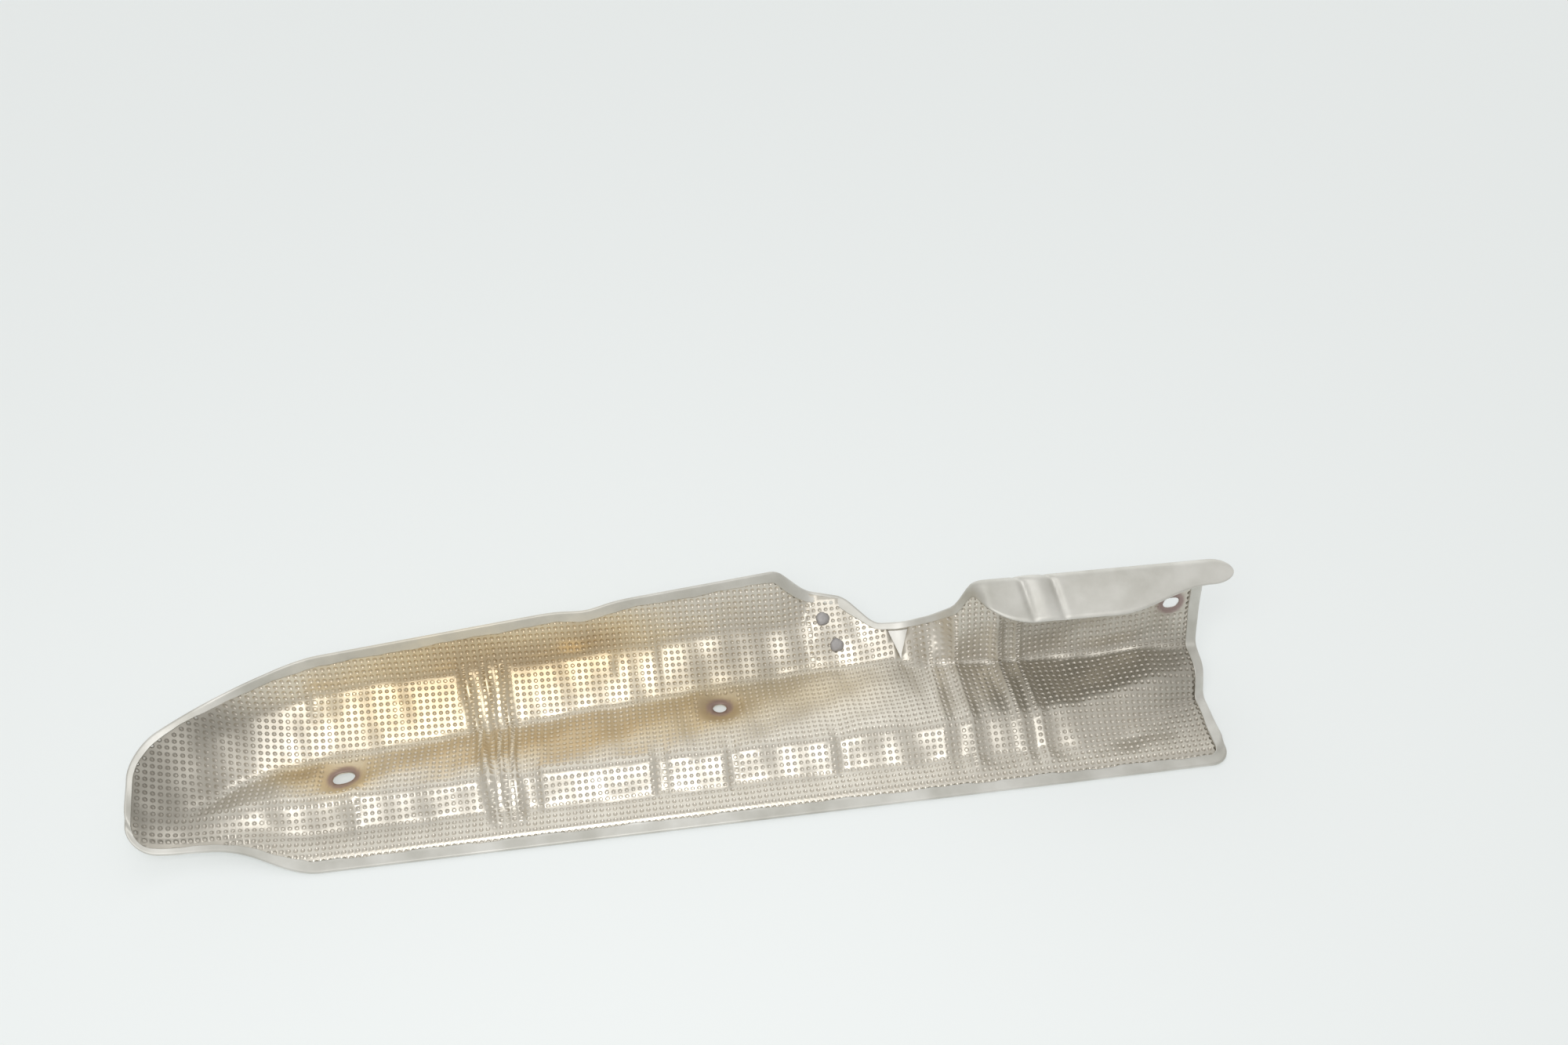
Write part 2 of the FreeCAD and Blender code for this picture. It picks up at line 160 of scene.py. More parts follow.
def relief(x, u):
    # ribs, jogs of the front slope, dents and dished pads, as height over the plain pressing
    ribs, blocks, pads, brim, wobble = (pressing[name] for name in ("ribs", "blocks", "pads", "brim", "wobble"))
    height = np.zeros_like(x)
    fade = smooth(u, ribs["from"], ribs["full"]) * (1 - smooth(u, ribs["fading"], ribs["to"]))
    for place, lean, rise, half in ribs["places"]:
        height += rise * fade * bell(x - place - lean * (u - ribs["pivot"]), half)
    band = smooth(u, blocks["from"], blocks["full"]) * (1 - smooth(u, blocks["fading"], blocks["to"]))
    for edge, step in blocks["edges"]:
        height += step * band * smooth(x, edge - blocks["reach"], edge + blocks["reach"])
    for dentX, dentU, wide, deep, rise in pressing["dents"]:
        height += rise * bell(x - dentX, wide) * bell(u - dentU, deep)
    for padX, padU in pads["places"]:
        away = np.hypot(x - padX, u - padU)
        height -= pads["depth"] * (1 - smooth(away, pads["flat"], pads["reach"]))
    behind = u - frontEdge(x)
    height += brim["height"] * smooth(behind, brim["from"], brim["to"]) \
        * (1 - smooth(behind, brim["to"], brim["fade"]))
    still, free = wobble["still"], wobble["free"]
    calm = smooth(behind, still, free) * smooth(topEdge(x) - u, still, free)
    wave = sum(np.sin(a * x + b * u + c) for a, b, c in wobble["waves"])
    return height + wobble["height"] * calm * wave


def onSheet(x, u, height):
    # point of the sheet at x and at unrolled depth u, lifted by height along the section's normal, in metres
    t = u - frontDepth(x)
    ahead, behind = section(x, t + pressing["slopeStep"]), section(x, t - pressing["slopeStep"])
    along = ahead - behind
    along /= np.linalg.norm(along, axis=-1, keepdims=True)
    place = section(x, t)
    lift = height + relief(x, u)
    depth = place[..., 0] - along[..., 1] * lift - pressing["depthCentre"]
    up = place[..., 1] + along[..., 0] * lift
    return np.stack([x - pressing["lengthCentre"], depth, up], -1) * metre


def cornerTrim(x, end, radius):
    # how far a quarter round draws the edge in
    run = np.clip(radius - np.abs(x - end), 0, radius)
    return radius - np.sqrt(radius ** 2 - run ** 2)


def frontEdge(x):
    return frontDepth(x) + cornerTrim(x, tailX, pressing["tailCorner"]) + cornerTrim(x, endX, pressing["endCorner"])


def topEdge(x):
    dent = pressing["topDent"]
    return frontDepth(x) + sheetLength(x) - cornerTrim(x, tailX, pressing["tailCorner"]) \
        - dent["depth"] * bell(x - dent["x"], dent["halfWidth"])


def makePiece(name, points, faces, node):
    # faces is a list of index arrays, one row for each face
    mesh = bpy.data.meshes.new(name)
    mesh.vertices.add(len(points))
    mesh.vertices.foreach_set("co", np.ascontiguousarray(points, np.float32).ravel())
    counts = np.concatenate([np.full(len(f), f.shape[1]) for f in faces])
    mesh.loops.add(int(counts.sum()))
    mesh.loops.foreach_set("vertex_index", np.concatenate([f.ravel() for f in faces]).astype(np.int32))
    mesh.polygons.add(len(counts))
    mesh.polygons.foreach_set("loop_start", (np.cumsum(counts) - counts).astype(np.int32))
    mesh.polygons.foreach_set("use_smooth", np.ones(len(counts), bool))
    mesh.update(calc_edges=True)
    mesh.validate()
    piece = bpy.data.objects.new(name, mesh)
    bpy.context.scene.collection.objects.link(piece)
    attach(piece, "root")
    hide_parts(node)
    print(name, len(points), "points", int((counts - 2).sum()), "triangles")
    return piece


def addCreases(piece, pairs):
    # the edges between these pairs of points shade as sharp
    mesh = piece.data
    ends = np.empty(len(mesh.edges) * 2, np.int32)
    mesh.edges.foreach_get("vertices", ends)
    pack = np.array([len(mesh.vertices), 1])
    found = np.isin(np.sort(ends.reshape(-1, 2).astype(np.int64), 1) @ pack, np.sort(pairs, 1) @ pack)
    mesh.attributes.new("sharp_edge", "BOOLEAN", "EDGE").data.foreach_set("value", found)


def addMask(piece, name, values):
    mask = piece.data.attributes.new(name, "FLOAT", "POINT")
    mask.data.foreach_set("value", np.ascontiguousarray(values, np.float32))


def holeEdge(hole, angle):
    # ray from the middle to a shape with straight sides and round ends
    c, s = np.cos(angle), np.sin(angle)
    side = hole["radius"] / np.maximum(np.abs(s), 1e-9)
    end = hole["half"] * np.abs(c) + np.sqrt(np.maximum(hole["radius"] ** 2 - (hole["half"] * s) ** 2, 0))
    far = np.where(np.abs(c) * side <= hole["half"], side, end)
    return np.stack([far * c, far * s], -1)


def holeCentre(hole):
    x = np.array(float(hole["x"]))
    reach = hole.get("reach", None)
    u = frontDepth(x) + (reach if reach is not None else sheetLength(x) - hole["below"])
    return float(x), float(u)


def ringPatch(loop, centre, hole, rings):
    # rows of points that pass from the hole's edge, row 0, to the loop round it, row rings
    away = loop - np.array(centre)
    edge = holeEdge(hole, np.arctan2(away[:, 1], away[:, 0]))
    share = (np.arange(rings + 1) / rings)[:, None, None]
    return np.array(centre) + edge * (1 - share) + away * share


def ringFaces(rows):
    # quads between index rows that close on themselves
    rows = np.asarray(rows)
    nxt = np.roll(rows, -1, 1)
    return np.stack([rows[:-1], rows[1:], nxt[1:], nxt[:-1]], -1).reshape(-1, 4)


def blockLoop(i0, i1, j0, j1):
    # grid indices once round a block, counter-clockwise
    bottom = [(i, j0) for i in range(i0, i1)]
    right = [(i1, j) for j in range(j0, j1)]
    top = [(i, j1) for i in range(i1, i0, -1)]
    left = [(i0, j) for j in range(j1, j0, -1)]
    return np.array(bottom + right + top + left)


# outer skin, in millimetres: the sheet, its hem, and the lip that the hem opens into
skin = {
    "wall": 0.8, "sheetWall": 0.5, "xStep": 2.2, "rows": 66, "edgeInset": 1.0, "holeBlock": 4, "holeRings": 3,
    "hemRadius": 1.1, "hemWidth": 6.5, "tailHem": 0.56, "tailHemLead": 14.0, "dipHem": 0.62,
    "root": 4.0, "rootMiddle": 0.35, "rootLap": 0.02, "bevel": 0.2,
    "foldSteps": 11, "flangeShares": (0.12, 0.3, 0.5, 0.7, 0.88, 0.985, 1.0),
    "waves": ((0.35, 0.11, 0.05, 0.0), (0.25, 0.27, 0.0, 1.3), (0.15, 0.63, 0.2, 0.0)),
    "rimStep": 2.2, "frontStep": 2.4, "cornerSteps": 12, "tailSteps": 16, "endSteps": 56,
    "lip": {"opens": (153.5, 167.5), "spreads": (157.5, 192.0), "spreadPower": 0.75, "narrows": (240.0, 294.0),
            "tip": 308.0, "tipSteps": 14, "tipClose": 0.999, "tipMiddle": 0.4, "endGap": 2.5,
            "width": 25.0, "firstWidth": 1.5, "neckWidth": 12.0, "root": 1.6, "turn": 128.0, "radius": 4.5,
            "bead": 0.3, "beadFrom": 0.86, "fine": (172.0, 224.0), "fineStep": 1.0,
            "grooves": (188.0, 205.5), "grooveDepth": 1.5, "grooveHalfWidth": 1.8, "grooveLean": 13.0,
            "groovePivot": 0.6, "grooveIn": (0.1, 0.35), "grooveOut": (0.75, 1.0), "grooveFade": 0.85,
            "bulge": 1.5, "bulgeHalfWidth": 6.0},
}
lip = skin["lip"]


def skinSheet():
    # two walls over a grid from edge to edge, with the holes let in
    xs = np.linspace(tailX + skin["edgeInset"], endX - skin["edgeInset"], int((endX - tailX) / skin["xStep"]))
    share = np.linspace(0, 1, skin["rows"])
    x = np.repeat(xs[:, None], len(share), 1)
    low, high = frontEdge(x) + skin["edgeInset"], topEdge(x) - skin["edgeInset"]
    u = low + (high - low) * share
    flat = np.stack([x, u], -1)
    nx, nu = x.shape
    index = np.arange(nx * nu).reshape(nx, nu)
    keep = np.ones((nx - 1, nu - 1), bool)
    domain = [flat.reshape(-1, 2)]
    count = nx * nu
    patches, rims = [], []
    half, rings = skin["holeBlock"], skin["holeRings"]
    for hole in holes.values():
        centre = holeCentre(hole)
        i = int(np.argmin(np.abs(xs - centre[0])))
        j = int(np.argmin(np.abs(u[i] - centre[1])))
        i0, i1, j0, j1 = i - half, i + half, j - half, j + half
        keep[i0:i1, j0:j1] = False
        around = blockLoop(i0, i1, j0, j1)
        rows = ringPatch(flat[around[:, 0], around[:, 1]], centre, hole, rings)
        fresh = count + np.arange(rings * len(around)).reshape(rings, -1)
        domain.append(rows[:rings].reshape(-1, 2))
        count += fresh.size
        patches.append(ringFaces(np.vstack([fresh, index[around[:, 0], around[:, 1]]])))
        rims.append(fresh[0])
    domain = np.concatenate(domain)
    quads = np.stack([index[:-1, :-1], index[1:, :-1], index[1:, 1:], index[:-1, 1:]], -1)[keep]
    inner = np.concatenate([quads] + patches)
    outerPoints = onSheet(domain[:, 0], domain[:, 1], np.zeros(count))
    innerPoints = onSheet(domain[:, 0], domain[:, 1], np.full(count, skin["sheetWall"]))
    border = np.concatenate([index[:, 0], index[-1, 1:], index[-2::-1, -1], index[0, -2:0:-1]])
    loops = [border] + [r[::-1] for r in rims]
    walls = [np.stack([r, np.roll(r, -1), np.roll(r, -1) + count, r + count], -1) for r in loops]
    faces = np.concatenate([inner[:, ::-1], inner + count] + walls)
    return np.concatenate([outerPoints, innerPoints]), faces, np.concatenate([domain, domain])


def rimPath():
    # once along the edge from the lip's tip over the top, the tail and the front to the end, as x and unrolled depth
    tailR, endR = pressing["tailCorner"], pressing["endCorner"]
    step, fineStep, (fineLow, fineHigh) = skin["rimStep"], lip["fineStep"], lip["fine"]
    tailAt, endAt = np.array(float(tailX)), np.array(float(endX))
    sweep = 1 - np.cos(np.linspace(0, np.pi / 2, skin["cornerSteps"]))
    ear = lip["tip"] - (lip["tip"] - endX) * (1 - np.cos(np.linspace(0, np.pi / 2, lip["tipSteps"])[:-1]))
    top = np.concatenate([ear, np.arange(endX, fineHigh, -step), np.arange(fineHigh, fineLow, -fineStep),
                          np.arange(fineLow, tailX + tailR + 1, -step), tailX + tailR * sweep[::-1]])
    front = np.concatenate([tailX + tailR * sweep, np.arange(tailX + tailR + 2, endX - endR - 1, skin["frontStep"]),
                            endX - endR * sweep[::-1]])
    tailU = np.linspace(topEdge(tailAt), frontEdge(tailAt), skin["tailSteps"])[1:-1]
    endU = np.linspace(frontEdge(endAt), topEdge(endAt) - lip["endGap"], skin["endSteps"])[1:]
    x = np.concatenate([top, np.full(len(tailU), tailX), front, np.full(len(endU), endX)])
    u = np.concatenate([topEdge(top), tailU, frontEdge(front), endU])
    onTop = np.concatenate([np.ones(len(top)), np.zeros(len(x) - len(top))])
    return x, u, onTop


def rimBand():
    # a fold and a flange carried along the edge; where the hem opens into the lip the turn, radius and width change
    x, u, onTop = rimPath()
    path = np.stack([x, u], -1)
    way = np.gradient(path, axis=0)
    way = np.stack([np.convolve(np.pad(way[:, k], 2, "edge"), np.ones(5) / 5, "valid") for k in (0, 1)], -1)
    way /= np.linalg.norm(way, axis=1, keepdims=True)
    inward = np.stack([-way[:, 1], way[:, 0]], -1)
    opened = smooth(x, *lip["opens"]) * onTop
    spreadFrom, spreadTo = lip["spreads"]
    spreadShare = np.clip((x - spreadFrom) / (spreadTo - spreadFrom), 0, 1)
    spread = np.sin(np.pi / 2 * spreadShare ** lip["spreadPower"])
    inward = inward * (1 - opened[:, None]) + np.array([0.0, -1.0]) * opened[:, None]
    wave = sum(rise * np.sin(a * x + b * u + c) for rise, a, b, c in skin["waves"])
    turn = np.radians(180 + (lip["turn"] - 180) * opened)
    radius = skin["hemRadius"] + (lip["radius"] - skin["hemRadius"]) * opened
    centre = skin["hemRadius"] * (1 - opened)
    lipWidth = lip["width"] + (lip["neckWidth"] - lip["width"]) * smooth(x, *lip["narrows"])
    ear = np.clip((x - endX) / (lip["tip"] - endX), 0, 1)
    shrink = np.sqrt(1 - lip["tipClose"] * ear ** 2)
    tailward = 1 - smooth(x, stationX["toe"] - skin["tailHemLead"], stationX["shoulder"])
    hem = 1 - (1 - skin["tailHem"]) * tailward \
        - (1 - skin["dipHem"]) * onTop * smooth(x, stationX["rivet"], stationX["dip"])
    width = (skin["hemWidth"] * hem - skin["hemRadius"] + wave * hem) * (1 - opened) \
        + (lip["firstWidth"] + (lipWidth - lip["firstWidth"]) * spread) * opened
    root = skin["root"] * (1 - opened) + lip["root"] * opened
    outer, inner = [], []
    for side, out in ((outer, 0.0), (inner, skin["wall"])):
        lift = -skin["rootLap"] if out == 0 else skin["wall"] + skin["rootLap"]
        side.append((centre + root, np.full_like(x, lift)))
        side.append((centre + skin["rootMiddle"] * root, np.full_like(x, lift)))
        for share in np.linspace(0, 1, skin["foldSteps"]):
            angle = turn * share
            side.append((centre - (radius - out) * np.sin(angle), radius - (radius - out) * np.cos(angle)))
        for share in skin["flangeShares"]:
            bevel = skin["bevel"] if share == 1.0 else -lip["bead"] * (lip["beadFrom"] < share) * opened
            run = width * share
            off = out - bevel if out else bevel
            q = centre - (radius - off) * np.sin(turn) - run * np.cos(turn)
            h = radius - (radius - off) * np.cos(turn) + run * np.sin(turn)
            side.append((q, h))
    profile = outer + inner[::-1]
    q = np.stack([p[0] for p in profile], 1)
    h = np.stack([p[1] for p in profile], 1)
    # past the sheet's end the whole profile shrinks to a round tip
    middleQ = centre - radius * np.sin(turn) - lip["tipMiddle"] * width * np.cos(turn)
    middleH = radius - radius * np.cos(turn) + lip["tipMiddle"] * width * np.sin(turn)
    q = middleQ[:, None] + (q - middleQ[:, None]) * shrink[:, None]
    h = middleH[:, None] + (h - middleH[:, None]) * shrink[:, None]
    # leaning grooves pressed across the lip, with a bulge between them
    rank = np.concatenate([np.linspace(0, 1, len(outer)), np.linspace(1, 0, len(inner))])
    place = x[:, None] - lip["grooveLean"] * (rank - lip["groovePivot"])
    dent = sum(bell(place - g, lip["grooveHalfWidth"]) for g in lip["grooves"]) * lip["grooveDepth"] \
        - bell(place - sum(lip["grooves"]) / 2, lip["bulgeHalfWidth"]) * lip["bulge"]
    press = opened[:, None] * dent * smooth(rank, *lip["grooveIn"]) \
        * (1 - lip["grooveFade"] * smooth(rank, *lip["grooveOut"]))
    q = q + press * np.sin(turn)[:, None]
    h = h + press * np.cos(turn)[:, None]
    bandX = x[:, None] + inward[:, :1] * q
    bandU = u[:, None] + inward[:, 1:] * q
    points = onSheet(bandX, bandU, h)
    n, m = q.shape
    index = np.arange(n * m).reshape(n, m)
    across = np.roll(index, -1, 1)
    quads = np.stack([index[:-1], index[1:], across[1:], across[:-1]], -1).reshape(-1, 4)
    caps = [index[0][None, :], index[-1][None, ::-1]]
    return points.reshape(-1, 3), [quads] + caps, np.stack([bandX, bandU], -1).reshape(-1, 2)


sheetPoints, sheetFaces, sheetFlat = skinSheet()
bandPoints, bandFaces, bandFlat = rimBand()
skinPiece = makePiece("smooth_skin", np.concatenate([sheetPoints, bandPoints]),
                      [sheetFaces] + [f + len(sheetPoints) for f in bandFaces], "outer_skin")


# dimpled liner, in millimetres; rim and floor of a dimple are shares of the pitch
liner = {
    "top": 1.35, "wall": 0.69, "inset": 1.8, "pitch": 3.68, "covered": 0.9, "rim": 0.36, "floor": 0.2, "pit": 0.64,
    "firstRow": 0.9, "deepest": 190.0, "thinnest": 0.05, "holeRings": 5, "weldGrid": 500,
    "notchX": 121.8, "notchWidth": 15.0, "notchDepth": 22.0,
    "lap": {"x": 68.5, "height": 0.9, "reach": 0.9, "from": 104.0, "full": 108.0, "fading": 86.0, "to": 100.0,
            "waves": ((1.6, 0.35), (0.8, 0.9))},
    "flap": {"x": 112.0, "u": 101.0, "height": 1.6, "wide": 9.0, "deep": 6.0},
    "worn": ((144.0, 108.0, 5.5, 9.5, 0.8), (-66.0, 66.0, 26.0, 11.0, 0.35), (-124.0, 66.0, 4.0, 30.0, 0.7)),
    "wornFade": 1.0,
}


def within(value, middle, half):
    # 1 inside the half width, easing to 0 across its edge
    return 1 - smooth(np.abs(value - middle), half - liner["wornFade"], half + liner["wornFade"])


def dimpledSheet():
    # square cells on the unrolled sheet, each with an eight-sided rim and a small square floor
    pitch = liner["pitch"]
    turns = np.radians(np.arange(0, 360, 45))
    floorTurns = np.radians(np.arange(45, 405, 90))
    cell = np.concatenate([
        [[0, 0], [1, 0], [1, 1], [0, 1]],
        0.5 + liner["rim"] * np.stack([np.cos(turns), np.sin(turns)], -1),
        0.5 + liner["floor"] * np.stack([np.cos(floorTurns), np.sin(floorTurns)], -1)])
    sink = np.concatenate([np.zeros(12), np.full(4, liner["pit"])])
    r, f = 4, 12
    faces = []
    for k, corner in enumerate((2, 3, 0, 1)):       # corners seen at 45, 135, 225 and 315 degrees
        nextCorner = (3, 0, 1, 2)[k]
        east, diagonal, north = r + 2 * k, r + 2 * k + 1, r + (2 * k + 2) % 8
        nextFloor = f + (k + 1) % 4
        faces += [(corner, diagonal, east), (corner, north, diagonal), (corner, nextCorner, north),
                  (east, diagonal, f + k), (diagonal, north, f + k), (north, nextFloor, f + k)]
    faces += [(f, f + 1, f + 2), (f, f + 2, f + 3)]
    faces = np.array(faces)

    first = int(np.floor((tailX - liner["notchX"]) / pitch))
    last = int(np.ceil((endX - liner["notchX"]) / pitch))
    columns = liner["notchX"] + np.arange(first, last) * pitch
    rowCount = int(np.ceil(liner["deepest"] / pitch))
    rows = liner["firstRow"] + np.arange(rowCount) * pitch
    x0, u0 = np.meshgrid(columns, rows, indexing="ij")
    drop = np.zeros(x0.shape, bool)
    loops = []
    for hole in holes.values():
        centre = holeCentre(hole)
        i = int(np.round((centre[0] - columns[0]) / pitch))
        j = int(np.round((centre[1] - rows[0]) / pitch))
        i0, i1, j0, j1 = i - hole["pad"], i + hole["pad"], j - hole["pad"], j + hole["pad"]
        drop[i0:i1, j0:j1] = True
        loops.append((hole, centre, blockLoop(i0, i1, j0, j1)))
    keep = ~drop
    raw = np.stack([x0[keep], u0[keep]], -1)[:, None, :] + cell[None] * pitch
    x = np.clip(raw[..., 0], tailX + liner["inset"], endX - liner["inset"])
    low, high = frontEdge(x) + liner["inset"], topEdge(x) - liner["inset"]
    u = np.clip(raw[..., 1], low, np.maximum(high, low))
    # the notch: each side of its middle is pushed back to a straight edge that meets the other at the tip
    tip = topEdge(np.array(liner["notchX"])) - liner["notchDepth"]
    opening = np.maximum(u - tip, 0) / liner["notchDepth"] * liner["notchWidth"] / 2
    leftSide = raw[:, :4, 0].mean(1, keepdims=True) < liner["notchX"]
    near = np.abs(raw[..., 0] - liner["notchX"]) < liner["notchWidth"]
    pushed = np.where(leftSide, np.minimum(x, liner["notchX"] - opening), np.maximum(x, liner["notchX"] + opening))
    x = np.where(near, pushed, x)
    whole = (np.abs(np.stack([x, u], -1) - raw).max((1, 2)) < 1e-6)
    alive = np.minimum(np.ptp(x[:, :4], axis=1), np.ptp(u[:, :4], axis=1)) > liner["thinnest"]
    covered = np.minimum(u.min(1) - low.min(1), high.max(1) - u.max(1)) < liner["covered"]
    pitted = (whole & ~covered)[alive]
    flat = np.stack([x, u], -1)[alive]
    depth = sink[None] * pitted[:, None]
    index = np.arange(len(flat) * len(cell)).reshape(-1, len(cell))
    plain = np.array([(0, 1, 2), (0, 2, 3)])
    tris = np.concatenate([index[pitted][:, faces].reshape(-1, 3), index[~pitted][:, plain].reshape(-1, 3)])
    bottom = index[:, plain].reshape(-1, 3)
    ring = r + np.arange(8)
    creases = index[pitted][:, np.stack([ring, np.roll(ring, -1)], -1)].reshape(-1, 2)
    flat, depth = flat.reshape(-1, 2), depth.reshape(-1)
    extraFlat, extraFaces, count = [], [], len(flat)
    for hole, centre, around in loops:
        loop = np.stack([columns[0] + around[:, 0] * pitch, rows[0] + around[:, 1] * pitch], -1)
        made = ringPatch(loop, centre, hole, liner["holeRings"])
        fresh = count + np.arange(made.shape[0] * made.shape[1]).reshape(made.shape[:2])
        extraFlat.append(made.reshape(-1, 2))
        quads = ringFaces(fresh)
        extraFaces.append(np.concatenate([quads[:, [0, 1, 2]], quads[:, [0, 2, 3]]]))
        count += fresh.size
    flat = np.concatenate([flat] + extraFlat)
    depth = np.concatenate([depth, np.zeros(count - len(depth))])
    tris, bottom = np.concatenate([tris] + extraFaces), np.concatenate([bottom] + extraFaces)
    # points that fall together become one
    welded = np.round(flat * liner["weldGrid"]).astype(np.int64)
    _, pick, same = np.unique(welded, axis=0, return_index=True, return_inverse=True)
    tris, bottom, creases = (same.reshape(-1)[part] for part in (tris, bottom, creases))
    tris, bottom = [t[(t[:, 0] != t[:, 1]) & (t[:, 1] != t[:, 2]) & (t[:, 2] != t[:, 0])] for t in (tris, bottom)]
    flat, depth = flat[pick], depth[pick]
    used, tris = np.unique(tris, return_inverse=True)
    flat, depth, tris = flat[used], depth[used], tris.reshape(-1, 3)
    bottom, creases = np.searchsorted(used, bottom), np.searchsorted(used, creases)
    # worn patches have shallow dimples; the lapped edge at the rivets and the torn flap stand up
    x, u = flat[:, 0], flat[:, 1]
    for wornX, wornU, wide, deep, level in liner["worn"]:
        depth = depth * (1 - level * (within(x, wornX, wide) * within(u, wornU, deep)))
    lap, flap = liner["lap"], liner["flap"]
    seamX = lap["x"] + sum(swing * np.sin(rate * u) for swing, rate in lap["waves"])
    raised = lap["height"] * smooth(x, seamX - lap["reach"], seamX + lap["reach"]) \
        * (1 - smooth(x, lap["fading"], lap["to"])) * smooth(u, lap["from"], lap["full"])
    torn = bell(x - flap["x"], flap["wide"]) * bell(u - flap["u"], flap["deep"]) * (x < liner["notchX"])
    lifted = liner["top"] + raised + flap["height"] * torn
    points = onSheet(x, u, lifted - depth)
    # a plain underside, and a wall down to it from every open edge
    edges = np.concatenate([tris[:, [0, 1]], tris[:, [1, 2]], tris[:, [2, 0]]])
    code = np.sort(edges, 1) @ np.array([len(flat), 1])
    _, where, times = np.unique(code, return_index=True, return_counts=True)
    rim = edges[where[times == 1]]
    below = np.unique(bottom)
    newIndex = np.zeros(len(flat), np.int64)
    newIndex[below] = len(flat) + np.arange(len(below))
    walls = np.stack([rim[:, 1], rim[:, 0], newIndex[rim[:, 0]], newIndex[rim[:, 1]]], -1)
    underside = onSheet(flat[below, 0], flat[below, 1], lifted[below] - liner["wall"])
    points, flat = np.concatenate([points, underside]), np.concatenate([flat, flat[below]])
    depth = np.concatenate([depth, np.zeros(len(below))])
    return points, [tris, newIndex[bottom][:, ::-1], walls], flat, depth, creases


linerPoints, linerFaces, linerFlat, linerDepth, linerCreases = dimpledSheet()
linerPiece = makePiece("dimpled_sheet", linerPoints, linerFaces, "dimpled_liner")
addCreases(linerPiece, linerCreases)


# rivets, in millimetres: place along the length and below the top edge; profiles as shares of radius and height
rivet = {
    "places": ((77.0, 16.0), (84.0, 31.0)), "sides": 28,
    "head": 4.2, "height": 1.3, "tail": 3.0, "tailHeight": 0.8,
    "headProfile": ((0.02, 1.0), (0.3, 0.98), (0.55, 0.9), (0.78, 0.72), (0.93, 0.42), (1.0, 0.12), (1.0, -0.5)),
    "tailProfile": ((1.0, 0.0), (1.0, -0.7), (0.9, -1.0), (0.02, -1.0)),
    "wide": (0.05, 0.03), "hammer": 0.09,
}


def rivetPiece():
    # a lathe profile with a lightly hammered crown, stood on the sheet
    turns = np.linspace(0, 2 * np.pi, rivet["sides"], endpoint=False)
    headShare, headUp = np.array(rivet["headProfile"]).T[:, :, None]
    tailShare, tailUp = np.array(rivet["tailProfile"]).T[:, :, None]
    threefold, fivefold = rivet["wide"]
    seat = liner["top"] + liner["lap"]["height"]
    even = np.ones_like(turns)
    allPoints, allFaces, ends, base = [], [], [], 0
    for x, below in rivet["places"]:
        u = topEdge(np.array(x)) - below
        uneven = 1 + threefold * np.sin(3 * turns + x) + fivefold * np.sin(5 * turns)
        hammered = rivet["hammer"] * np.sin(4 * turns + 9 * headShare + x)
        parts = ((headShare * rivet["head"] * uneven, seat + headUp * rivet["height"] + hammered),
                 (tailShare * rivet["tail"] * even, tailUp * rivet["tailHeight"] * even))
        for ring, up in parts:
            grid = onSheet(x + ring * np.cos(turns), u + ring * np.sin(turns), up)
            n, m = ring.shape
            index = base + np.arange(n * m).reshape(n, m)
            allPoints.append(grid.reshape(-1, 3))
            allFaces.append(ringFaces(index))
            ends += [index[0][None, :], index[-1][None, ::-1]]
            base += n * m
    return np.concatenate(allPoints), [np.concatenate(allFaces), np.concatenate(ends)]


rivetPoints, rivetFaces = rivetPiece()
rivetObject = makePiece("rivet_heads", rivetPoints, rivetFaces, "rivets")


# masks for the materials over the unrolled sheet: x, depth, half widths and strength of each heated patch and of each
# dark patch of soot and painted shade
stains = {
    "scorch": ((-145, 144, 52, 20, 0.68), (-120, 124, 40, 16, 0.3), (-62, 138, 34, 17, 0.7),
               (-85, 120, 34, 15, 0.35), (-165, 104, 52, 22, 0.5), (-40, 73, 62, 14, 0.3),
               (-110, 66, 60, 14, 0.32), (-6, 86, 26, 14, 0.3), (9, 83, 16, 14, 0.6), (-206, 60, 17, 13, 0.7),
               (-231, 65, 16, 9, 0.7), (60, 88, 46, 20, 0.3), (-30, 110, 70, 40, 0.2), (-190, 120, 60, 30, 0.25)),
    # dark patches: soot, with painted shade over the tail scoop in the first two, at x -314 and -272
    "sootAndShade": ((-314, 56, 42, 60, 0.9), (-272, 96, 38, 18, 0.5), (170, 60, 46, 60, 0.18), (235, 75, 60, 40, 0.28),
             (290, 60, 30, 60, 0.42), (215, 118, 50, 16, 0.3), (-205, 22, 80, 9, 0.25), (120, 90, 14, 20, 0.3),
             (28, 112, 46, 22, 0.25), (40, 140, 30, 20, 0.1)),
    "rings": (("centre", 9.0), ("oblong", 10.5), ("slot", 9.0)), "ringFade": 2.5,
}


def stainMask(flat, patches):
    # sum of round falls, each the product of two square exponentials
    x, u = flat[:, 0], flat[:, 1]
    total = sum(level * bell(x - px, wide) * bell(u - pu, deep) for px, pu, wide, deep, level in patches)
    return np.clip(total, 0, 1)


def ringMask(flat):
    # 1 round each hole, easing to 0 at its reach
    x, u = flat[:, 0], flat[:, 1]
    ring = np.zeros(len(flat))
    for name, reach in stains["rings"]:
        cx, cu = holeCentre(holes[name])
        ring = np.maximum(ring, 1 - smooth(np.hypot(x - cx, u - cu), reach - stains["ringFade"], reach))
    return ring


for piece, flat in ((linerPiece, linerFlat), (skinPiece, np.concatenate([sheetFlat, bandFlat]))):
    addMask(piece, "scorch", stainMask(flat, stains["scorch"]))
    # the dark mask: soot, with painted shade over the tail
    addMask(piece, "sootAndShade", stainMask(flat, stains["sootAndShade"]))
    addMask(piece, "ring", ringMask(flat))
# the pit mask darkens each dimple most at its floor: painted shade in the recesses
addMask(linerPiece, "pit", linerDepth / liner["pit"])
print("masks done")


